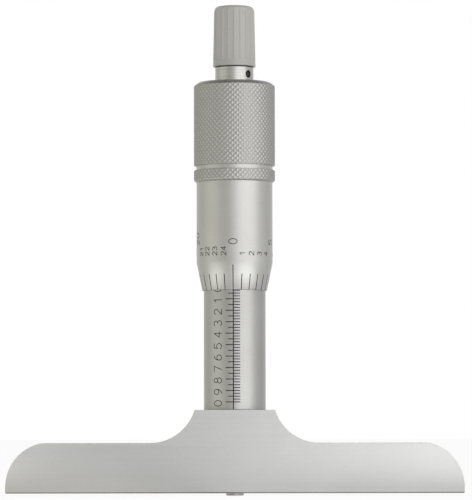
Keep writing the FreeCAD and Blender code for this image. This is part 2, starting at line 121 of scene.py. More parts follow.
# %% A metal with tool marks
def machined(name, light, dark, roughness, along_mm, depth_mm, cloud_mm=7.0, grain_mm=0.3, mark_share=0.35):
    """Metal. The grey slides between dark and light with a broad noise and a fine grain; marks
    are noise with cell sizes along_mm = (x, y, z). They take mark_share of the grey, and shift
    the roughness and, as bump, the slope."""
    material, tree = empty_material(name)
    place = add(tree, "ShaderNodeTexCoord").outputs["Object"]
    scale = tuple(1.0 / (size * MM) for size in along_mm)
    stretched = add(tree, "ShaderNodeMapping", {"Vector": place, "Scale": scale}).outputs["Vector"]
    marks = add(tree, "ShaderNodeTexNoise", {"Vector": stretched, "Scale": 1.0, "Detail": 3.0})
    cloud = add(tree, "ShaderNodeTexNoise", {"Vector": place, "Scale": 1 / (cloud_mm * MM), "Detail": 2.0})
    grain = add(tree, "ShaderNodeTexNoise", {"Vector": place, "Scale": 1 / (grain_mm * MM), "Detail": 1.0})
    both = add(tree, "ShaderNodeMix", {"Factor": 0.45, "A": cloud.outputs["Fac"], "B": grain.outputs["Fac"]})
    mixed = add(tree, "ShaderNodeMix", {
        "Factor": mark_share, "A": both.outputs["Result"], "B": marks.outputs["Fac"]})
    shade = add(tree, "ShaderNodeMapRange", {
        "Value": mixed.outputs["Result"], "From Min": 0.35, "From Max": 0.65})
    grey = add(tree, "ShaderNodeMix", {"Factor": shade.outputs["Result"]}, data_type="RGBA")
    grey.inputs["A"].default_value = linear(dark)
    grey.inputs["B"].default_value = linear(light)
    blur = add(tree, "ShaderNodeMapRange", {
        "Value": marks.outputs["Fac"], "From Min": 0.3, "From Max": 0.7,
        "To Min": roughness - 0.04, "To Max": roughness + 0.04})
    slope = add(tree, "ShaderNodeBump", {
        "Height": marks.outputs["Fac"], "Strength": 1.0, "Distance": depth_mm * MM})
    metal = add(tree, "ShaderNodeBsdfPrincipled", {
        "Base Color": grey.outputs["Result"], "Metallic": 1.0,
        "Roughness": blur.outputs["Result"], "Normal": slope.outputs["Normal"]})
    add(tree, "ShaderNodeOutputMaterial", {"Surface": metal.outputs["BSDF"]})
    return material


# %% [markdown]
# ## The metals of this tool
# - The sleeve and thimble are steel, turned, blasted fine and plated with **satin chrome**: a
#   soft grey that spreads a lamp into a broad band, so the scale can be read without glare.
#   The sleeve's chrome is a shade darker and a little smoother than the thimble's.
# - The base is hardened stainless steel, **ground** on its sides; the strokes run along it and
#   it is a little lighter and smoother than the chrome. Its broken edges carry painted light:
#   painted shade, a darker grey, below, and a painted highlight, a lighter grey, above.
# - The collar of the ratchet is **turned** bright, and the tool's rings stay visible.
# - The rod is **ground and lapped**, the smoothest of all.
# - The knurl is **rolled**; its grey is painted shade, darker towards each groove's foot, so the tips read
#   lighter.

# %% Steel, chrome and bronze
satin_chrome = machined("satin_chrome_plate", "#b5b5b3", "#adaca9", 0.42, (60, 60, 0.22), 0.0012)
sleeve_chrome = machined("sleeve_chrome_plate", "#a8a8a6", "#a09f9c", 0.40, (60, 60, 0.22), 0.0012)
ground_base = machined("ground_stainless_base", "#bababa", "#b2b2b1", 0.34, (40, 40, 0.30), 0.0008,
                       cloud_mm=14.0)
# painted shade: a darker grey for the base's broken edges that face down
painted_shade_edge = machined("painted_shade_lower_edge", "#8b8a87", "#7a7976", 0.42, (20, 20, 0.5), 0.002)
# painted highlight: a lighter grey for the base's broken edges on top
painted_highlight_edge = machined("painted_highlight_upper_edge", "#e6e6e5", "#dadad8", 0.85, (20, 20, 0.5), 0.002)
turned_bright = machined("bright_turned_steel", "#bdbdba", "#989793", 0.33, (60, 60, 0.26), 0.006,
                         mark_share=0.8)
ground_rod = machined("lapped_rod_steel", "#aaaaa9", "#9c9c9b", 0.18, (60, 60, 0.25), 0.0008)
cut_steel = machined("plain_cut_steel", "#a9a8a5", "#959490", 0.36, (60, 60, 0.3), 0.004)
black_oxide = machined("black_oxide_screw", "#4a4947", "#3a3937", 0.38, (30, 30, 0.3), 0.003)
bearing_bronze = machined("bearing_bronze", "#b98b53", "#a37843", 0.34, (60, 60, 0.3), 0.004)
spring_steel = machined("drawn_spring_wire", "#8f8f8e", "#7d7d7c", 0.30, (30, 30, 0.4), 0.002)
print("metals:", len(bpy.data.materials))

# %% [markdown]
# The knurl needs to know how deep in a groove each point lies. The mesh will carry that as an
# attribute called `groove`, 0 on a tip and 1 at a groove's foot, and the material reads it: the
# foot is duller and painted darker as shade, so the tip reads lighter.

# %% Rolled knurl with painted groove shade
def rolled_knurl(name):
    """Satin chrome whose grey and roughness follow the mesh's own groove attribute; the grey is painted shade,
    darker towards a groove's foot.
    """
    material, tree = empty_material(name)
    place = add(tree, "ShaderNodeTexCoord").outputs["Object"]
    groove = add(tree, "ShaderNodeAttribute", attribute_name="groove").outputs["Fac"]
    grain = add(tree, "ShaderNodeTexNoise", {"Vector": place, "Scale": 1 / (0.5 * MM), "Detail": 2.0})
    tone_noise = add(tree, "ShaderNodeMath", {0: grain.outputs["Fac"], 1: 0.35, 2: -0.17}, operation="MULTIPLY_ADD")
    deep = add(tree, "ShaderNodeMath", {0: groove, 1: tone_noise.outputs["Value"]}, operation="ADD", use_clamp=True)
    # painted shade: the grey darkens towards a groove's foot, plus a random tone noise
    grey = add(tree, "ShaderNodeMix", {"Factor": deep.outputs["Value"]}, data_type="RGBA")
    grey.inputs["A"].default_value = linear("#adadab")
    grey.inputs["B"].default_value = linear("#999895")
    blur = add(tree, "ShaderNodeMapRange", {"Value": deep.outputs["Value"], "To Min": 0.44, "To Max": 0.52})
    slope = add(tree, "ShaderNodeBump", {
        "Height": grain.outputs["Fac"], "Strength": 1.0, "Distance": 0.004 * MM})
    metal = add(tree, "ShaderNodeBsdfPrincipled", {
        "Base Color": grey.outputs["Result"], "Metallic": 1.0,
        "Roughness": blur.outputs["Result"], "Normal": slope.outputs["Normal"]})
    add(tree, "ShaderNodeOutputMaterial", {"Surface": metal.outputs["BSDF"]})
    return material


knurl_chrome_painted_shade = rolled_knurl("knurl_painted_groove_shade")

# %% [markdown]
# The ratchet's grip is a moulded cap, a warm light grey with the fine matte skin of an eroded
# mould. It is the only plastic, so its colour, not its reflection, makes it grey. The scale
# lines are cut grooves filled with black paint that dries matte and slightly uneven.

# %% Plastic and ink
def pigmented(name, light, dark, roughness, grain_mm, depth_mm):
    """A dielectric whose colour slides between two tones with a noise, with the noise as bump."""
    material, tree = empty_material(name)
    place = add(tree, "ShaderNodeTexCoord").outputs["Object"]
    grain = add(tree, "ShaderNodeTexNoise", {"Vector": place, "Scale": 1 / (grain_mm * MM), "Detail": 3.0})
    shade = add(tree, "ShaderNodeMapRange", {"Value": grain.outputs["Fac"], "From Min": 0.35, "From Max": 0.65})
    tone = add(tree, "ShaderNodeMix", {"Factor": shade.outputs["Result"]}, data_type="RGBA")
    tone.inputs["A"].default_value = linear(dark)
    tone.inputs["B"].default_value = linear(light)
    slope = add(tree, "ShaderNodeBump", {
        "Height": grain.outputs["Fac"], "Strength": 1.0, "Distance": depth_mm * MM})
    skin_shader = add(tree, "ShaderNodeBsdfPrincipled", {
        "Base Color": tone.outputs["Result"], "Roughness": roughness, "IOR": 1.5,
        "Normal": slope.outputs["Normal"]})
    add(tree, "ShaderNodeOutputMaterial", {"Surface": skin_shader.outputs["BSDF"]})
    return material


grip_plastic = pigmented("moulded_grey_plastic", "#a7a59f", "#a09e98", 0.36, 0.25, 0.003)
scale_paint = pigmented("black_scale_paint", "#171513", "#0e0d0c", 0.62, 0.12, 0.004)

# %% [markdown]
# ## Turning a piece
# Most of this tool came off a lathe. A lathe shape is a profile, a list of radius and height
# pairs, carried round the axis. Here it is one grid of points: rows follow the profile and
# columns go round, so numpy works out every point at once. A profile that ends on the axis
# closes in a pole, where a whole row is welded into one point; a ring-shaped piece has a
# profile that closes on itself. Angles start at the front and grow to the right.

# %% From a grid of rings to an object
def make_piece(name, points, faces, body, finish, crease=28.0):
    """An object from points in millimetres. Doubled points are welded, which closes poles, and
    edges whose faces meet at more than crease degrees stay sharp while the rest is shaded smooth."""
    mesh = bpy.data.meshes.new(name)
    mesh.from_pydata((np.asarray(points) * MM).tolist(), [], faces)
    piece = bpy.data.objects.new(name, mesh)
    bpy.context.scene.collection.objects.link(piece)
    weld = piece.modifiers.new("weld", "WELD")
    weld.merge_threshold = 1e-7
    bake(piece)
    piece.data.materials.append(finish)
    piece.data.shade_smooth()
    piece.data.set_sharp_from_angle(angle=math.radians(crease))
    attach(piece, body)
    print(name, "points", len(piece.data.vertices), "faces", len(piece.data.polygons))
    return piece


def bake(piece):
    """Keeps the shape that a piece's modifiers give, and drops the modifiers."""
    graph = bpy.context.evaluated_depsgraph_get()
    shaped = bpy.data.meshes.new_from_object(piece.evaluated_get(graph))
    piece.modifiers.clear()
    piece.data = shaped


def rings(radius, height, angles, closed):
    """Points and four-sided faces of a lathe grid: x = r sin a, y = -r cos a, z = height. The
    angles are one list for all rows or a grid of their own."""
    radius, height = np.broadcast_arrays(np.asarray(radius, float), np.asarray(height, float))
    points = np.stack([radius * np.sin(angles), -radius * np.cos(angles), height], axis=-1)
    rows, columns = radius.shape
    here = np.arange(rows * columns).reshape(rows, columns)
    right = np.roll(here, -1, axis=1)
    faces = np.stack([here, right, np.roll(right, -1, axis=0), np.roll(here, -1, axis=0)], axis=-1)
    faces = faces if closed else faces[:-1]
    return points.reshape(-1, 3), faces.reshape(-1, 4)


def lathe(profile, columns=192, closed=True):
    """A profile of (radius, height) rows carried round the axis in equal steps."""
    profile = np.array(profile, float)
    angles = np.linspace(0, 2 * np.pi, columns, endpoint=False)
    radius = np.repeat(profile[:, :1], columns, axis=1)
    height = np.repeat(profile[:, 1:], columns, axis=1)
    return rings(radius, height, angles, closed)


# %% [markdown]
# ## Drilling
# A hole across a lathe shape is the one thing a profile cannot hold. A cutter is turned in the
# same way, laid along the drill's direction, and taken away with a Boolean. The result is
# kept as a plain mesh.

# %% A drill
def drill(piece, profile, start, direction, columns=48):
    """Takes a turned cutter away: its own height axis is laid along direction from start."""
    points, faces = lathe(profile, columns, closed=False)
    z_axis = np.array(direction, float) / np.linalg.norm(direction)
    side = np.cross(z_axis, (0, 0, 1.0)) if abs(z_axis[2]) < 0.9 else np.array((1.0, 0, 0))
    x_axis = side / np.linalg.norm(side)
    y_axis = np.cross(z_axis, x_axis)
    points = np.asarray(start) + points @ np.stack([x_axis, y_axis, z_axis])
    mesh = bpy.data.meshes.new("cutter")
    mesh.from_pydata((points * MM).tolist(), [], faces.tolist())
    cutter = bpy.data.objects.new("cutter", mesh)
    bpy.context.scene.collection.objects.link(cutter)
    weld = cutter.modifiers.new("weld", "WELD")
    weld.merge_threshold = 1e-7
    cut = piece.modifiers.new("cut", "BOOLEAN")
    cut.object = cutter
    cut.solver = "EXACT"
    bpy.context.view_layer.update()
    bake(piece)
    bpy.data.objects.remove(cutter)
    piece.data.set_sharp_from_angle(angle=math.radians(28))
    print(piece.name, "drilled, faces now", len(piece.data.polygons))


def span(node):
    """A node's lowest and highest corners in millimetres."""
    low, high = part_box(node)
    return np.array(low) / MM, np.array(high) / MM


# %% [markdown]
# ## The base
# The base is a bar with one outline seen from the front: long wings with round ends, swept up
# to the hub by two hollow arcs. Moving that outline inwards by the width of the edge break
# gives the front face; four copies of it, front to back, make the bar. The outline is worked
# out from circles and lines so that the inner copy is exact, arc by arc.

# %% Base outline
base_low, base_high = span("base_beam")
EDGE_BREAK = 0.08
FOOT_BREAK = 0.26
WING_TOP = 11.1
WING_END_RISE = 1.4
WING_END_R = 9.9
HUB_HALF = 8.925
NECK_R = 10.4
FOOT_R = 0.3
BARREL_BORE_R = 5.83
BARREL_SEAT = 3.0
ROD_HOLE_R = 2.3


def base_outline(share):
    """Right half from foot to hub, then its mirror, moved in by a share of the edge break: each
    arc keeps its centre while the break eats into round corners and widens the hollow ones.
    The break narrows from FOOT_BREAK to EDGE_BREAK round the foot; it is the third result."""
    half, top = base_high[0], base_high[2]
    neck_z = WING_TOP + NECK_R
    neck_x = HUB_HALF + math.sqrt(NECK_R ** 2 - (neck_z - top) ** 2)
    inset = EDGE_BREAK * share
    foot_break = np.linspace(FOOT_BREAK, EDGE_BREAK, 7)
    foot = np.radians(np.linspace(-90, 0, 7))
    foot_r = FOOT_R - foot_break * share
    end = np.linspace(0, math.asin((WING_TOP - inset - WING_END_RISE) / (WING_END_R - inset)), 37)
    neck_end = math.pi + math.asin((neck_z - top + inset) / (NECK_R + inset))
    neck = np.linspace(1.5 * math.pi, neck_end, 37)
    x = np.concatenate([
        half - FOOT_R + foot_r * np.cos(foot),
        half - WING_END_R + (WING_END_R - inset) * np.cos(end),
        neck_x + (NECK_R + inset) * np.cos(neck)])
    z = np.concatenate([
        FOOT_R + foot_r * np.sin(foot),
        WING_END_RISE + (WING_END_R - inset) * np.sin(end),
        neck_z + (NECK_R + inset) * np.sin(neck)])
    broken = np.concatenate([foot_break, np.full(len(end) + len(neck), EDGE_BREAK)])
    return np.concatenate([x, -x[::-1]]), np.concatenate([z, z[::-1]]), np.concatenate([broken, broken[::-1]])


def base_bar():
    """Four outlines from front to back joined by bands, with the front and back faces as one
    many-sided face each."""
    layers = []
    for share, face, inward in ((1, base_low[1], 0), (0, base_low[1], 1),
                                (0, base_high[1], -1), (1, base_high[1], 0)):
        x, z, broken = base_outline(share)
        layers.append(np.stack([x, face + inward * broken, z], axis=-1))
    points = np.concatenate(layers)
    count = len(layers[0])
    here = np.arange(3 * count).reshape(3, count)
    after = np.roll(here, -1, axis=1)
    bands = np.stack([after, here, here + count, after + count], axis=-1).reshape(-1, 4)
    front = np.arange(count)
    back = front[::-1] + 3 * count
    return points, bands.tolist() + [front.tolist(), back.tolist()], count


# %% Base bar
bar_points, bar_faces, outline_count = base_bar()
base = make_piece("base_bar", bar_points, bar_faces, "base", ground_base)
print("outline points", outline_count)
drill(base, [(0, -1), (ROD_HOLE_R + FOOT_BREAK + 1, -1), (ROD_HOLE_R, FOOT_BREAK), (ROD_HOLE_R, BARREL_SEAT),
             (BARREL_BORE_R, BARREL_SEAT), (BARREL_BORE_R, 20), (0, 20)], (0, 0, 0), (0, 0, 1), 96)
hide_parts("base_beam")

# %% [markdown]
# The broken edge is a face of its own kind: it leans at 45 degrees between a side face and the
# rim. Those faces are found by their slope, all at once. Edges that face down get painted
# shade, a darker grey, and those on top get a painted highlight, a lighter grey.

# %% Painted shade and painted highlight on the broken edges
base.data.materials.append(painted_shade_edge)
base.data.materials.append(painted_highlight_edge)
slopes = np.zeros(len(base.data.polygons) * 3)
base.data.polygons.foreach_get("normal", slopes)
slopes = slopes.reshape(-1, 3)
leaning = (np.abs(slopes[:, 1]) > 0.5) & (np.abs(slopes[:, 1]) < 0.9)
# edges facing down get the painted shade, edges on top get the painted highlight
kind = np.where(leaning, np.where(slopes[:, 2] < -0.1, 1, 2), 0)
base.data.polygons.foreach_set("material_index", kind.astype(np.int32))
print("edge faces", int(leaning.sum()))

# %% [markdown]
# ## Sleeve, rod and shank
# Three plain lathe pieces. The sleeve has a hole for a hook key at its back, the collar of the
# shank a hole for a pin spanner. Each outer corner gets a small break, as a turner leaves it.

# %% Sleeve
sleeve_low, sleeve_high = span("graduated_sleeve")
SLEEVE_R = sleeve_high[0]
SLEEVE_BORE_R = 5.85
KEY_HOLE_R = 0.8
KEY_HOLE_Z = sleeve_low[2] + 4.8
points, faces = lathe([
    (SLEEVE_BORE_R, sleeve_low[2]), (SLEEVE_R - 0.08, sleeve_low[2]), (SLEEVE_R, sleeve_low[2] + 0.08),
    (SLEEVE_R, sleeve_high[2] - 0.1), (SLEEVE_R - 0.1, sleeve_high[2]), (SLEEVE_BORE_R, sleeve_high[2])])
sleeve = make_piece("sleeve_tube", points, faces.tolist(), "sleeve", sleeve_chrome)
drill(sleeve, [(0, 4), (KEY_HOLE_R, 4), (KEY_HOLE_R, SLEEVE_R - 0.1), (KEY_HOLE_R + 1.1, SLEEVE_R + 1.0),
               (0, SLEEVE_R + 1.0)], (0, 0, KEY_HOLE_Z), (0, 1, 0))
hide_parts("graduated_sleeve")

# %% Rod
rod_low, rod_high = span("measuring_rod")
ROD_R = rod_high[0]
ROD_END_R = 1.5
ROD_SEAT = span("rod_setting_nut")[0][2]
points, faces = lathe([
    (0, rod_low[2]), (ROD_R - 0.12, rod_low[2]), (ROD_R, rod_low[2] + 0.12), (ROD_R, ROD_SEAT),
    (ROD_END_R, ROD_SEAT), (ROD_END_R, rod_high[2] - 0.15), (ROD_END_R - 0.15, rod_high[2]), (0, rod_high[2])],
    96, closed=False)
rod = make_piece("measuring_rod_ground", points, faces.tolist(), "rod", ground_rod)
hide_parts("measuring_rod")

# %% Shank with its collar
shank_low, shank_high = span("ratchet_shank")
thimble_low, thimble_high = span("thimble")
COLLAR_R = shank_high[0]
COLLAR_TOP = span("lower_ratchet_ring")[0][2]
SPIGOT_R = 2.85
STEM_R = 1.9
STEM_BORE_R = 0.9
STEM_BORE_DEPTH = 4.5
SPANNER_HOLE_R = 0.85
SPANNER_HOLE_DEPTH = 2.0
SPANNER_ANGLE = math.radians(47)
points, faces = lathe([
    (0, shank_low[2]), (SPIGOT_R, shank_low[2]), (SPIGOT_R, thimble_high[2]),
    (COLLAR_R - 0.12, thimble_high[2]),
    (COLLAR_R, thimble_high[2] + 0.12), (COLLAR_R, COLLAR_TOP - 0.12), (COLLAR_R - 0.12, COLLAR_TOP),
    (STEM_R, COLLAR_TOP), (STEM_R, shank_high[2]), (STEM_BORE_R, shank_high[2]),
    (STEM_BORE_R, shank_high[2] - STEM_BORE_DEPTH), (0, shank_high[2] - STEM_BORE_DEPTH)], 160, closed=False)
shank = make_piece("ratchet_shank_turned", points, faces.tolist(), "thimble_body", turned_bright)
outward = (math.sin(SPANNER_ANGLE), -math.cos(SPANNER_ANGLE), 0)
drill(shank, [(0, COLLAR_R - SPANNER_HOLE_DEPTH), (SPANNER_HOLE_R, COLLAR_R - SPANNER_HOLE_DEPTH),
              (SPANNER_HOLE_R, COLLAR_R + 1), (0, COLLAR_R + 1)],
      (0, 0, (thimble_high[2] + COLLAR_TOP) / 2), outward)
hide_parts("ratchet_shank")

# %% [markdown]
# ## The knurl
# A diamond knurl is two sets of spiral grooves that cross. Laid flat, with u counting diamonds
# round the thimble and v counting them along it, one set of grooves lies where u + v is whole
# and the other where u - v is whole. The height of a point follows its distance to the nearest
# groove. Could this be a bump map? It could, but the outline of the thimble would then be
# smooth, and grooves would not shade each other. A real grid costs little if its columns and
# rows are an eighth of a diamond, because then every groove runs along the diagonals of the
# grid, and each square is cut in two along the diagonal that lies nearest to a groove.

# %% Knurl as a height
DIAMONDS = 50
STEPS = 8
KNURL_DEPTH = 0.15
KNURL_PITCH = 1.132
KNURL_R = thimble_high[0]
columns = DIAMONDS * STEPS
round_angles = np.linspace(0, 2 * np.pi, columns, endpoint=False)
u = np.arange(columns) / STEPS


def to_whole(value):
    """Distance of a number to the nearest whole number, from 0 to a half."""
    return np.abs(value - np.round(value))


def knurl_height(v):
    """0 at a groove's foot and 1 on a tip, for rows v and all columns: the distance to the
    nearest groove, raised by a curve that keeps the groove sharp and wears the tip a little."""
    nearest = np.minimum(to_whole(u[None, :] + v[:, None]), to_whole(u[None, :] - v[:, None]))
    return 1 - (1 - 2 * nearest) ** 1.15


def band(low, high, rows, envelope):
    """Rows of a knurled band: radius, height and groove depth, held under a turned envelope."""
    z = np.linspace(low, high, rows + 1)
    v = np.arange(rows + 1) / STEPS
    raised = knurl_height(v)
    radius = np.minimum(KNURL_R - KNURL_DEPTH * (1 - raised), envelope(z)[:, None])
    return radius, np.repeat(z[:, None], columns, axis=1), 1 - raised


# %% [markdown]
# ## The thimble
# From the edge up: a bevel that carries the thimble's lines, a plain barrel for its numbers, a
# narrow knurled band, a groove, the long knurl, and a chamfer that cuts the knurl's ends off
# cleanly. The chamfer is an envelope: the radius is the smaller of the knurl's and the cone's,
# which leaves the little scallops that a turned chamfer leaves on a real knurl.

# %% Thimble rows
BORE_R = 6.98
EDGE_R = 7.2
BARREL_R = 8.5
BEVEL = 6.2
BAND = 2.7
GROOVE = 1.0
GROOVE_R = 8.55
KNURL = 17.9
CHAMFER = 0.87
CHAMFER_INSET = 1.16
SCALLOP_ROWS = 4
edge_z, top_z = thimble_low[2], thimble_high[2]
knurl_top = top_z - CHAMFER
knurl_low = knurl_top - KNURL
band_high = knurl_low - GROOVE
band_low = band_high - BAND
end_break = 0.16
low_break = 0.5
main_rows = round(KNURL / KNURL_PITCH * STEPS)
row_step = KNURL / main_rows


def ends_broken(z):
    """The narrow band's envelope: it falls at 45 degrees, low_break below and end_break above."""
    lower = np.clip(low_break - (z - band_low), 0, None)
    upper = np.clip(end_break - (band_high - z), 0, None)
    return KNURL_R - lower - upper


def chamfered_top(z):
    """The long band's envelope: a small break below and the thimble's wide chamfer above."""
    lean = CHAMFER_INSET / CHAMFER
    return KNURL_R - np.clip(end_break - (z - knurl_low), 0, None) - lean * np.clip(z - knurl_top, 0, None)


def plain(rows):
    """Rows that are the same all the way round."""
    rows = np.array(rows, float)
    flat = np.ones((len(rows), columns))
    return rows[:, :1] * flat, rows[:, 1:] * flat, 0 * flat


lower_band = band(band_low, band_high, round(BAND / row_step), ends_broken)
long_knurl = band(knurl_low, knurl_top + SCALLOP_ROWS * row_step, main_rows + SCALLOP_ROWS, chamfered_top)
spindle_high = span("spindle_screw")[1]
TAPER_TOP = spindle_high[2] - 1.6
SPINDLE_SHOULDER = TAPER_TOP - 6.0
TOP_WALL = spindle_high[2] + 0.5
TOP_BORE_R = 3.0
TAPER_SMALL_R, TAPER_LARGE_R = 4.11, 4.61
sections = [
    plain([(BORE_R, edge_z), (EDGE_R - 0.03, edge_z), (EDGE_R, edge_z + 0.03),
           (BARREL_R - 0.01, edge_z + BEVEL - 0.05), (BARREL_R, edge_z + BEVEL + 0.05), (BARREL_R, band_low)]),
    lower_band,
    plain([(GROOVE_R, band_high), (GROOVE_R, knurl_low)]),
    long_knurl,
    plain([(KNURL_R - CHAMFER_INSET + 0.04, top_z - 0.03), (KNURL_R - CHAMFER_INSET - 0.04, top_z),
           (TOP_BORE_R, top_z), (TOP_BORE_R, TOP_WALL), (TAPER_SMALL_R, TOP_WALL),
           (TAPER_SMALL_R, TAPER_TOP), (TAPER_LARGE_R, SPINDLE_SHOULDER), (BORE_R, SPINDLE_SHOULDER)])]
radius, height, groove = (np.concatenate([part[i] for part in sections]) for i in range(3))
points, squares = rings(radius, height, round_angles, closed=True)
print("thimble rows", len(radius), "knurl rows", main_rows)

# %% Cutting the squares along the grooves
def cut_squares(squares, first_row, v):
    """Two triangles for each square of a knurled band. A groove of the first set rises to the
    left, one of the second set to the right, and the diagonal nearer to its groove is taken."""
    rows = len(v) - 1
    chosen = squares.reshape(-1, columns, 4)[first_row:first_row + rows].reshape(-1, 4)
    left_rising = to_whole(u[None, :] + v[:-1, None] + 1 / STEPS).ravel()
    right_rising = to_whole(u[None, :] - v[:-1, None]).ravel()
    turn = left_rising < right_rising
    a, b, c, d = chosen.T
    one = np.where(turn[:, None], np.stack([a, b, d], 1), np.stack([a, b, c], 1))
    two = np.where(turn[:, None], np.stack([b, c, d], 1), np.stack([a, c, d], 1))
    return np.concatenate([one, two])


starts = np.cumsum([0] + [len(part[0]) for part in sections])
knurled_rows = [(starts[1], len(lower_band[0])), (starts[3], len(long_knurl[0]))]
cut_faces, plain_mask = [], np.ones(len(radius), bool)
for first, count in knurled_rows:
    cut_faces.append(cut_squares(squares, first, np.arange(count) / STEPS))
    plain_mask[first:first + count - 1] = False
plain_faces = squares.reshape(-1, columns, 4)[plain_mask].reshape(-1, 4)
thimble_faces = plain_faces.tolist() + np.concatenate(cut_faces).tolist()
thimble = make_piece("thimble_knurled", points, thimble_faces, "thimble_body", satin_chrome,
                     60.0)
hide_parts("thimble")

# %% Groove attribute and the knurl's finish with painted groove shade
def on_knurl(z, reach):
    """True where a height lies in a knurled band, widened by reach."""
    return ((z > band_low - reach) & (z < band_high + reach)) | ((z > knurl_low - reach) & (z < top_z + reach))


mesh = thimble.data
attribute = mesh.attributes.new("groove", "FLOAT", "POINT")
attribute.data.foreach_set("value", groove.ravel().astype(np.float32))
middles = np.zeros(len(mesh.polygons) * 3, np.float32)
mesh.polygons.foreach_get("center", middles)
middles = middles.reshape(-1, 3) / MM
outer = np.hypot(middles[:, 0], middles[:, 1]) > GROOVE_R - 0.02
knurled = outer & on_knurl(middles[:, 2], 0.0)
# knurl faces take the chrome with painted shade in its grooves
mesh.materials.append(knurl_chrome_painted_shade)
mesh.polygons.foreach_set("material_index", knurled.astype(np.int32))
print("knurled faces", int(knurled.sum()))

# %% [markdown]
# ## The grip
# The grip is a tapered cap with twenty shallow flutes. A flute is a flat floor with a flank at
# 45 degrees on each side, and what is left between two flutes is a narrow rib. Seen from the
# axis, a flat floor at distance f lies at radius f / cos d, where d is the angle from the
# flute's middle, and a flank at (f - half) / (cos d - sin d). The wall is the smaller of that
# and the outer profile. The columns are not evenly spaced: they crowd at the corners of the
# floor and the rib, row by row, so that the corners stay crisp all the way up.

# %% Grip profile
grip_low, grip_high = span("ratchet_grip")
FLUTES = 20
FLUTE_HALF = 0.5
FLUTE_DEPTH = 0.14
FLUTE_START = 1.3
GRIP_TOP_R = 4.51
GRIP_LOW_R = 4.75
GRIP_LIP = 0.04
GRIP_LIP_HEIGHT = 0.45
SHOULDER_DROP = 1.5
GRIP_BORE_R = 3.73
CAP_INSIDE = grip_high[2] - 1.85
crown = [(4.51, 1.5), (4.48, 1.2), (4.43, 0.95), (4.34, 0.7), (4.2, 0.47), (4.0, 0.3), (3.7, 0.17), (3.2, 0.09)]
outside = [(GRIP_BORE_R, grip_low[2]), (GRIP_LOW_R + GRIP_LIP - 0.06, grip_low[2]),
           (GRIP_LOW_R + GRIP_LIP, grip_low[2] + 0.06), (GRIP_LOW_R + GRIP_LIP * 0.9, grip_low[2] + 0.25)]
outside += [(GRIP_LOW_R, grip_low[2] + GRIP_LIP_HEIGHT), (GRIP_LOW_R - 0.006, grip_low[2] + 0.75)]
taper_low, taper_high = grip_low[2] + GRIP_LIP_HEIGHT, grip_high[2] - SHOULDER_DROP


def wall_radius(z):
    """The long taper, without its flutes."""
    return GRIP_LOW_R + (GRIP_TOP_R - GRIP_LOW_R) * (z - taper_low) / (taper_high - taper_low)


climb = np.concatenate([np.linspace(FLUTE_START - 0.3, FLUTE_START + 0.4, 8) + grip_low[2],
                        np.linspace(grip_low[2] + 2.4, taper_high - 0.6, 12)])
outside += list(zip(wall_radius(climb), climb))
outside += [(r, grip_high[2] - drop) for r, drop in crown]
outside = np.array(outside)
print("grip profile rows", len(outside))

# %% Grip surface
HALF_PITCH = math.pi / FLUTES
on_floor = np.array([0.0, 0.4, 0.75, 0.93])
on_flank = np.array([0.0, 0.5, 1.0])
on_rib = np.array([0.5])


def half_flute(radius, z):
    """Angles from a flute's middle to the rib's middle, and the radius there, for every row:
    floor corner at atan(half / f), flank end where the flank meets the wall."""
    fade = np.clip((z - grip_low[2] - FLUTE_START) / 0.5 + 0.5, 0, 1)
    deep = (FLUTE_DEPTH * fade * fade * (3 - 2 * fade))[:, None]
    floor_r = wall_radius(z)[:, None] - deep
    floor_end = np.arctan(FLUTE_HALF / floor_r)
    flank_end = np.arcsin((FLUTE_HALF + deep + 0.02) / wall_radius(z)[:, None])
    angle = np.concatenate([
        floor_end * on_floor, floor_end + (flank_end - floor_end) * on_flank,
        flank_end + (HALF_PITCH - flank_end) * on_rib], axis=1)
    flat = floor_r / np.cos(angle)
    flank = (floor_r - FLUTE_HALF) / (np.cos(angle) - np.sin(angle))
    return angle, np.minimum(np.maximum(flat, flank), radius[:, None])


angle, wall = half_flute(outside[:, 0], outside[:, 1])
rib = np.minimum(outside[:, :1], wall_radius(outside[:, 1])[:, None])
one_flute = np.concatenate([angle, HALF_PITCH + 0 * rib, 2 * HALF_PITCH - angle[:, :0:-1]], axis=1)
one_wall = np.concatenate([wall, rib, wall[:, :0:-1]], axis=1)
turns = HALF_PITCH + 2 * HALF_PITCH * np.arange(FLUTES)
grip_angles = (turns[None, :, None] + one_flute[:, None, :]).reshape(len(outside), -1)
grip_wall = np.tile(one_wall, (1, FLUTES))
plain_rows = outside[:, 1] < grip_low[2] + GRIP_LIP_HEIGHT + 0.31
grip_wall[plain_rows] = outside[plain_rows, :1]
inner = np.array([
    (2.0, grip_high[2] - 0.02), (0.0, grip_high[2]), (0.0, CAP_INSIDE), (GRIP_BORE_R, CAP_INSIDE)])
whole = np.ones((1, grip_wall.shape[1]))
radius = np.concatenate([grip_wall, inner[:, :1] * whole])
height = np.concatenate([outside[:, 1:] * whole, inner[:, 1:] * whole])
angles = np.concatenate([grip_angles, np.repeat(grip_angles[-1:], len(inner), axis=0)])
points, faces = rings(radius, height, angles, closed=True)
pole_row = len(radius) - 3
faces = np.delete(faces.reshape(-1, grip_wall.shape[1], 4), pole_row, axis=0).reshape(-1, 4)
grip = make_piece("ratchet_grip_fluted", points, faces.tolist(), "grip", grip_plastic, 30.0)
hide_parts("ratchet_grip")

# %% [markdown]
# ## Drawing with a pen of ink
# The scales are engraved and filled with paint. A line is a thin strip laid over the curved
# steel: its middle is a run of points, its edges lie half a width to each side, and its top
# stands a hundredth of a millimetre proud, so that it never fights with the steel for the same
# place. Lines that go round the tool are cut in short steps and so follow the curve. Numbers
# are strokes too, from a small font made of arcs and straight lines.

# %% One strip of ink
LINE_WIDTH = 0.21
PROUD = 0.008
SUNK = 0.05


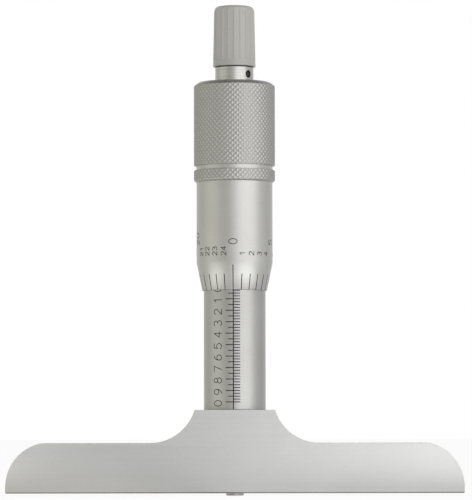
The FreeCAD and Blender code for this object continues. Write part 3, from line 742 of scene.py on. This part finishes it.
def strip(path, width, surface, unroll):
    """A closed strip along a path of (distance round, height) points: each path point gives
    four corners, left and right, above and below the surface, and both ends are capped."""
    path = np.asarray(path, float)
    along = np.gradient(path, axis=0)
    along = along / np.linalg.norm(along, axis=1, keepdims=True)
    path[0] -= along[0] * width * 0.4
    path[-1] += along[-1] * width * 0.4
    across = np.stack([along[:, 1], -along[:, 0]], axis=1) * width / 2
    flat = np.stack([path - across, path + across, path + across, path - across], axis=1)
    lift = np.array([PROUD, PROUD, -SUNK, -SUNK])
    angle = flat[..., 0] / unroll
    radius = surface(flat[..., 1]) + lift
    points = np.stack([radius * np.sin(angle), -radius * np.cos(angle), flat[..., 1]], axis=-1)
    count = len(path)
    here = np.arange(count * 4).reshape(count, 4)
    near, far = here[:-1], here[1:]
    sides = np.stack([near, np.roll(near, -1, axis=1), np.roll(far, -1, axis=1), far], axis=-1).reshape(-1, 4)
    caps = np.array([here[0][::-1], here[-1]])
    return points.reshape(-1, 3), np.concatenate([sides, caps])


def ink(name, strokes, surface, unroll, body):
    """All strokes of one scale as one object."""
    points, faces, count = [], [], 0
    for path, width in strokes:
        some_points, some_faces = strip(path, width, surface, unroll)
        points.append(some_points)
        faces.append(some_faces + count)
        count += len(some_points)
    faces = np.concatenate(faces)
    return make_piece(name, np.concatenate(points), faces.tolist(), body, scale_paint, 28.0)


def straight(start, end, step=0.4):
    """A straight path in steps no longer than step."""
    start, end = np.array(start, float), np.array(end, float)
    count = max(2, int(np.ceil(np.linalg.norm(end - start) / step)) + 1)
    return start + (end - start) * np.linspace(0, 1, count)[:, None]


# %% [markdown]
# The font is drawn in a box one unit wide and one high. An arc is given by its centre, its two
# radii and its first and last angle, so a nought is one full arc and a three is two partial
# ones. The numbers on this tool lie on their side: they are read with the rod pointing left.

# %% The number font
def arc(x, y, across, up, first, last, count=15):
    """Points on an ellipse between two angles in degrees."""
    turn = np.radians(np.linspace(first, last, count))
    return np.stack([x + across * np.cos(turn), y + up * np.sin(turn)], axis=1)


def bend(start, pull, end, count=11):
    """A curve from start to end drawn towards pull: the weights are (1-t)^2, 2t(1-t) and t^2."""
    t = np.linspace(0, 1, count)[:, None]
    return (1 - t) ** 2 * np.array(start) + 2 * t * (1 - t) * np.array(pull) + t ** 2 * np.array(end)


def through(*corners):
    """Straight strokes through corners, one stroke for each side."""
    return [straight(a, b, 0.2) for a, b in zip(corners[:-1], corners[1:])]


six = [arc(0.5, 0.31, 0.48, 0.31, 0, 360, 23), bend((0.02, 0.33), (0.04, 0.9), (0.78, 1.0))]
FONT = {
    "0": [arc(0.5, 0.5, 0.5, 0.5, 0, 360, 25)],
    "1": through((0.2, 0.76), (0.58, 1.0), (0.58, 0.0)),
    "2": [arc(0.5, 0.71, 0.47, 0.29, 165, -35)] + through((0.88, 0.55), (0.0, 0.0), (1.0, 0.0)),
    "3": [arc(0.47, 0.76, 0.43, 0.24, 150, -90), arc(0.47, 0.26, 0.50, 0.26, 90, -150)],
    "4": through((0.74, 0.0), (0.74, 1.0), (0.0, 0.3), (1.0, 0.3)),
    "5": through((0.92, 1.0), (0.16, 1.0), (0.08, 0.56)) + [arc(0.47, 0.33, 0.50, 0.33, 140, -150)],
    "6": six,
    "7": through((0.0, 1.0), (1.0, 1.0), (0.38, 0.0)),
    "8": [arc(0.5, 0.77, 0.40, 0.23, 0, 360, 21), arc(0.5, 0.27, 0.49, 0.27, 0, 360, 21)],
    "9": [1.0 - stroke for stroke in six]}


def number(text, s, z, tall, wide, pitch, width):
    """A number lying on its side: reading goes up, tops point left. s, z is the middle of its
    first figure, and the next figures follow upwards by pitch."""
    strokes = []
    for place, figure in enumerate(text):
        for stroke in FONT[figure]:
            turned = np.stack([s - (stroke[:, 1] - 0.5) * tall,
                               z + place * pitch + (stroke[:, 0] - 0.5) * wide], axis=1)
            strokes.append((turned, width))
    return strokes


# %% [markdown]
# ## The sleeve's scale
# One inch is forty lines of 0.025 inch. Lines stand to the right of a long datum line; every
# second one crosses it to the left, and every fourth goes further and has a number. Reading
# nought is at the top, so that the figures count down the sleeve as the rod goes out, and the
# ninth is followed by a nought for the whole inch.

# %% Sleeve scale
INCH = 25.4
LINE_PITCH = INCH / 40
ZERO_Z = thimble_low[2] + LINE_PITCH - 0.15
DATUM = math.radians(-2.6) * SLEEVE_R
lines = [(straight((DATUM, sleeve_low[2] + 0.1), (DATUM, sleeve_high[2] - 0.4), 1.0), LINE_WIDTH * 1.2)]
for count in range(41):
    z = ZERO_Z - count * LINE_PITCH
    reach = 1.65 if count % 4 == 0 else 1.05 if count % 2 == 0 else 0.0
    lines.append((straight((DATUM - reach, z), (DATUM + 1.45, z)), LINE_WIDTH))
for tenth in range(11):
    z = ZERO_Z - tenth * INCH / 10 - 0.3
    lines += number(str(tenth % 10), DATUM - 3.68, z, 1.95, 1.2, 0, 0.17)


def sleeve_surface(z):
    """The sleeve's radius at a height."""
    return np.full_like(z, SLEEVE_R)


sleeve_scale = ink("sleeve_scale", lines, sleeve_surface, SLEEVE_R, "sleeve")

# %% [markdown]
# ## The thimble's scale
# One turn moves the rod 0.025 inch, and twenty-five lines divide the turn into thousandths.
# They lie on the bevel, so the strips follow the cone. Every fifth line has a larger number
# set higher, and nought also has a longer line.

# %% Thimble scale
def thimble_surface(z):
    """The bevel's radius up to the barrel, then the barrel's."""
    return np.interp(z, [edge_z, edge_z + BEVEL], [EDGE_R, BARREL_R])


marks = []
for count in range(25):
    s = (math.radians(-2.6) + count * 2 * np.pi / 25) * BARREL_R
    s = (s + np.pi * BARREL_R) % (2 * np.pi * BARREL_R) - np.pi * BARREL_R
    line_top = edge_z + (5.4 if count == 0 else 3.4)
    marks.append((straight((s, edge_z + 0.05), (s, line_top), 1.0), LINE_WIDTH))
    if count % 5 == 0:
        marks += number(str(count), s, edge_z + 10.65, 1.9, 1.15, 1.55, 0.17)
    else:
        marks += number(str(count), s, edge_z + 8.0, 1.15, 0.82, 1.12, 0.15)
thimble_scale = ink("thimble_scale", marks, thimble_surface, BARREL_R, "thimble_body")

# %% [markdown]
# ## Pieces that keep their model shape
# The pieces inside the tool are right as they are. They only need their metal: bright cut
# steel for barrel, nuts and rings, lapped steel for the screw, bronze for the cup that runs on
# the stem, drawn wire for the spring and black oxide for the little screw that holds the grip on.

# %% Finishes for the inner pieces
inner = {
    "inner_barrel": cut_steel, "adjusting_nut": cut_steel, "spindle_screw": ground_rod,
    "rod_setting_nut": cut_steel, "rod_lock_nut": cut_steel, "lower_ratchet_ring": cut_steel,
    "upper_ratchet_ring": cut_steel, "grip_core": bearing_bronze, "ratchet_spring": spring_steel,
    "stem_screw": black_oxide}
for name, finish in inner.items():
    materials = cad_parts[name].data.materials
    for index in range(max(1, len(materials))):
        if index < len(materials):
            materials[index] = finish
        else:
            materials.append(finish)
print("inner pieces dressed:", len(inner))

# %% [markdown]
# ## The studio
# Satin metal shows the room more than itself, so the room is the light. Its walls are white
# card, and `ROOM` lists how light they are at each angle round the tool: the darker gaps
# between the cards draw the soft dark bands on the round parts. A wide soft lamp to the right of
# the camera draws the bright band, a weaker one on the left lifts the far side, and two light
# panels lying on the table light what leans down, such as the thimble's bevel. The camera sees
# floor and walls as white by their own strength, never above 1, so no lamp has to be turned up
# to make the ground white, and the floor keeps the shadow. Mirror-like rays see the cards, and
# light that only falls comes from a plain, dimmer surround.

# %% World and floor
def seen_white(tree):
    """1 for rays that come from the camera, a reflection or a glass, 0 for the rest."""
    path = add(tree, "ShaderNodeLightPath").outputs
    first = add(tree, "ShaderNodeMath", {0: path["Is Camera Ray"], 1: path["Is Glossy Ray"]},
                operation="MAXIMUM")
    return add(tree, "ShaderNodeMath", {0: first.outputs["Value"], 1: path["Is Transmission Ray"]},
               operation="MAXIMUM").outputs["Value"]


ROOM = [  # angle to the right of the camera, level, warmth
    (-180, 1.00, 0.0), (-145, 1.00, 0.3), (-118, 0.80, 0.6), (-85, 1.00, 1.0), (-52, 0.90, 1.0),
    (-30, 0.62, 0.5), (-8, 0.92, 0.0), (12, 0.98, 0.0), (70, 1.00, 0.0), (96, 0.95, 0.0),
    (116, 0.78, 0.0), (146, 1.00, 0.0), (180, 1.00, 0.0)]


def card(level, warmth):
    """White card at a level of light; warmth takes a little green and more blue away."""
    return (level, level * (1 - 0.02 * warmth), level * (1 - 0.13 * warmth), 1.0)


def room(tree, way):
    """What a reflection finds in a direction seen from above: white card walls with darker gaps
    between them. The turn is atan2(x, -y), 0 at the camera and growing to the right."""
    parts = add(tree, "ShaderNodeSeparateXYZ", {"Vector": way}).outputs
    toward = add(tree, "ShaderNodeMath", {0: parts["Y"], 1: -1.0}, operation="MULTIPLY").outputs["Value"]
    turn = add(tree, "ShaderNodeMath", {0: parts["X"], 1: toward}, operation="ARCTAN2").outputs["Value"]
    share = add(tree, "ShaderNodeMath", {0: turn, 1: 0.5 / math.pi, 2: 0.5}, operation="MULTIPLY_ADD")
    cards = add(tree, "ShaderNodeValToRGB", {"Fac": share.outputs["Value"]})
    stops = cards.color_ramp.elements
    stops[0].position, stops[0].color = 0.0, card(*ROOM[0][1:])
    stops[1].position, stops[1].color = 1.0, card(*ROOM[-1][1:])
    for angle, level, warmth in ROOM[1:-1]:
        stops.new(angle / 360 + 0.5).color = card(level, warmth)
    return cards.outputs["Color"]


def shown(tree, walls, plain, seen):
    """Walls for reflections, white for the camera, and a plain level for light that only falls."""
    camera_ray = add(tree, "ShaderNodeLightPath").outputs["Is Camera Ray"]
    white = add(tree, "ShaderNodeMix", {"Factor": camera_ray, "B": (1, 1, 1, 1)}, data_type="RGBA")
    level = add(tree, "ShaderNodeMix", {"Factor": seen, "A": plain}, data_type="RGBA")
    tree.links.new(walls, white.inputs["A"])
    tree.links.new(white.outputs["Result"], level.inputs["B"])
    return level.outputs["Result"]


SURROUND = 0.55
OVERHEAD = 0.25
world = bpy.data.worlds.new("studio_walls")
world.use_nodes = True
tree = world.node_tree
tree.nodes.clear()
way = add(tree, "ShaderNodeTexCoord").outputs["Generated"]
up = add(tree, "ShaderNodeSeparateXYZ", {"Vector": way}).outputs["Z"]
ceiling = add(tree, "ShaderNodeMapRange", {
    "Value": up, "From Min": 0.45, "From Max": 0.85, "To Min": 1.0, "To Max": OVERHEAD},
    interpolation_type="SMOOTHSTEP")
walls = add(tree, "ShaderNodeVectorMath", {0: room(tree, way), "Scale": ceiling.outputs["Result"]},
            operation="SCALE")
level = shown(tree, walls.outputs["Vector"], (SURROUND,) * 3 + (1,), seen_white(tree))
sky = add(tree, "ShaderNodeBackground", {"Color": level, "Strength": 1.0})
add(tree, "ShaderNodeOutputWorld", {"Surface": sky.outputs["Background"]})
bpy.context.scene.world = world
world.cycles.sampling_method = "NONE"

WHITE_SHARE = 0.92
TABLE_GLOW = 1.0
floor_finish, tree = empty_material("white_floor")
seen = seen_white(tree)
place = add(tree, "ShaderNodeTexCoord").outputs["Object"]
share = add(tree, "ShaderNodeMath", {0: seen, 1: WHITE_SHARE}, operation="MULTIPLY")
matte = add(tree, "ShaderNodeBsdfPrincipled", {"Base Color": linear("#f6f6f5"), "Roughness": 0.9})
glow = add(tree, "ShaderNodeEmission", {
    "Color": shown(tree, room(tree, place), (1, 1, 1, 1), seen), "Strength": TABLE_GLOW})
mixed = add(tree, "ShaderNodeMixShader", {
    0: share.outputs["Value"], 1: matte.outputs["BSDF"], 2: glow.outputs["Emission"]})
add(tree, "ShaderNodeOutputMaterial", {"Surface": mixed.outputs["Shader"]})

FLOOR_Z = cad_box[0][2]
FLOOR_HALF = 6.0
mesh = bpy.data.meshes.new("floor")
corners = [(-1, -1), (1, -1), (1, 1), (-1, 1)]
mesh.from_pydata([(FLOOR_HALF * x, FLOOR_HALF * y, FLOOR_Z) for x, y in corners], [], [(0, 1, 2, 3)])
floor = bpy.data.objects.new("floor", mesh)
bpy.context.scene.collection.objects.link(floor)
mesh.materials.append(floor_finish)

# %% Lamps
def lamp(name, angle, distance, middle_z, wide, tall, brightness):
    """A soft box at an angle to the right of the camera. Its power is brightness x pi x area,
    so brightness is what a mirror would show, with 1 as white."""
    light = bpy.data.lights.new(name, "AREA")
    light.shape = "RECTANGLE"
    light.size = wide
    light.size_y = tall
    light.energy = brightness * math.pi * wide * tall
    box = bpy.data.objects.new(name, light)
    turn = math.radians(angle)
    box.location = (distance * math.sin(turn), -distance * math.cos(turn), middle_z)
    tilt = math.atan2(middle_z - 0.05, distance)
    box.rotation_euler = (math.pi / 2 - tilt, 0, turn)
    bpy.context.scene.collection.objects.link(box)
    box.visible_camera = False


def table_panel(name, angle, near, far, half_angle, brightness):
    """A light panel lying on the table, from near to far at an angle to the right of the
    camera, facing up: it lights the faces that lean down, such as the thimble's bevel."""
    light = bpy.data.lights.new(name, "AREA")
    light.shape = "RECTANGLE"
    middle = (near + far) / 2
    light.size = 2 * middle * math.tan(math.radians(half_angle))
    light.size_y = far - near
    light.energy = brightness * math.pi * light.size * light.size_y
    panel = bpy.data.objects.new(name, light)
    turn = math.radians(angle)
    panel.location = (middle * math.sin(turn), -middle * math.cos(turn), FLOOR_Z + 0.002)
    panel.rotation_euler = (math.pi, 0, turn)
    bpy.context.scene.collection.objects.link(panel)
    panel.visible_camera = False


lamp("key_softbox", 38, 1.3, 0.70, 1.9, 1.5, 1.30)
lamp("left_fill", -70, 1.3, 0.55, 1.3, 1.2, 0.18)
table_panel("right_panel", 36, 0.06, 0.16, 28, 1.9)
table_panel("left_panel", -62, 0.06, 0.16, 22, 1.35)

# %% [markdown]
# ## The camera
# A long lens from nearly a metre away, low down at the height of the base and tipped up a
# little, so that the base shows its front square on and the rims of the round parts curve up.

# %% Camera
CAMERA_DISTANCE = 0.800
CAMERA_HEIGHT = 13.5 * MM
CAMERA_SIDE = 0.25 * MM
CAMERA_PITCH, CAMERA_ROLL = 2.914, 0.09
camera_data = bpy.data.cameras.new("camera")
camera_data.lens = 257.6
camera_data.sensor_width = 36.0
camera_data.clip_start = 0.01
camera_data.clip_end = 50.0
camera = bpy.data.objects.new("camera", camera_data)
camera.location = (CAMERA_SIDE, -CAMERA_DISTANCE, CAMERA_HEIGHT)
camera.rotation_euler = (math.radians(90 + CAMERA_PITCH), math.radians(CAMERA_ROLL), 0)
bpy.context.scene.collection.objects.link(camera)
bpy.context.scene.camera = camera
bpy.context.scene.view_settings.view_transform = "Standard"

# %% Sizes of the bare model
def plain_numbers(box):
    """A box as plain lists of numbers."""
    return [[float(value) for value in corner] for corner in box]


print("cad", plain_numbers(cad_box))
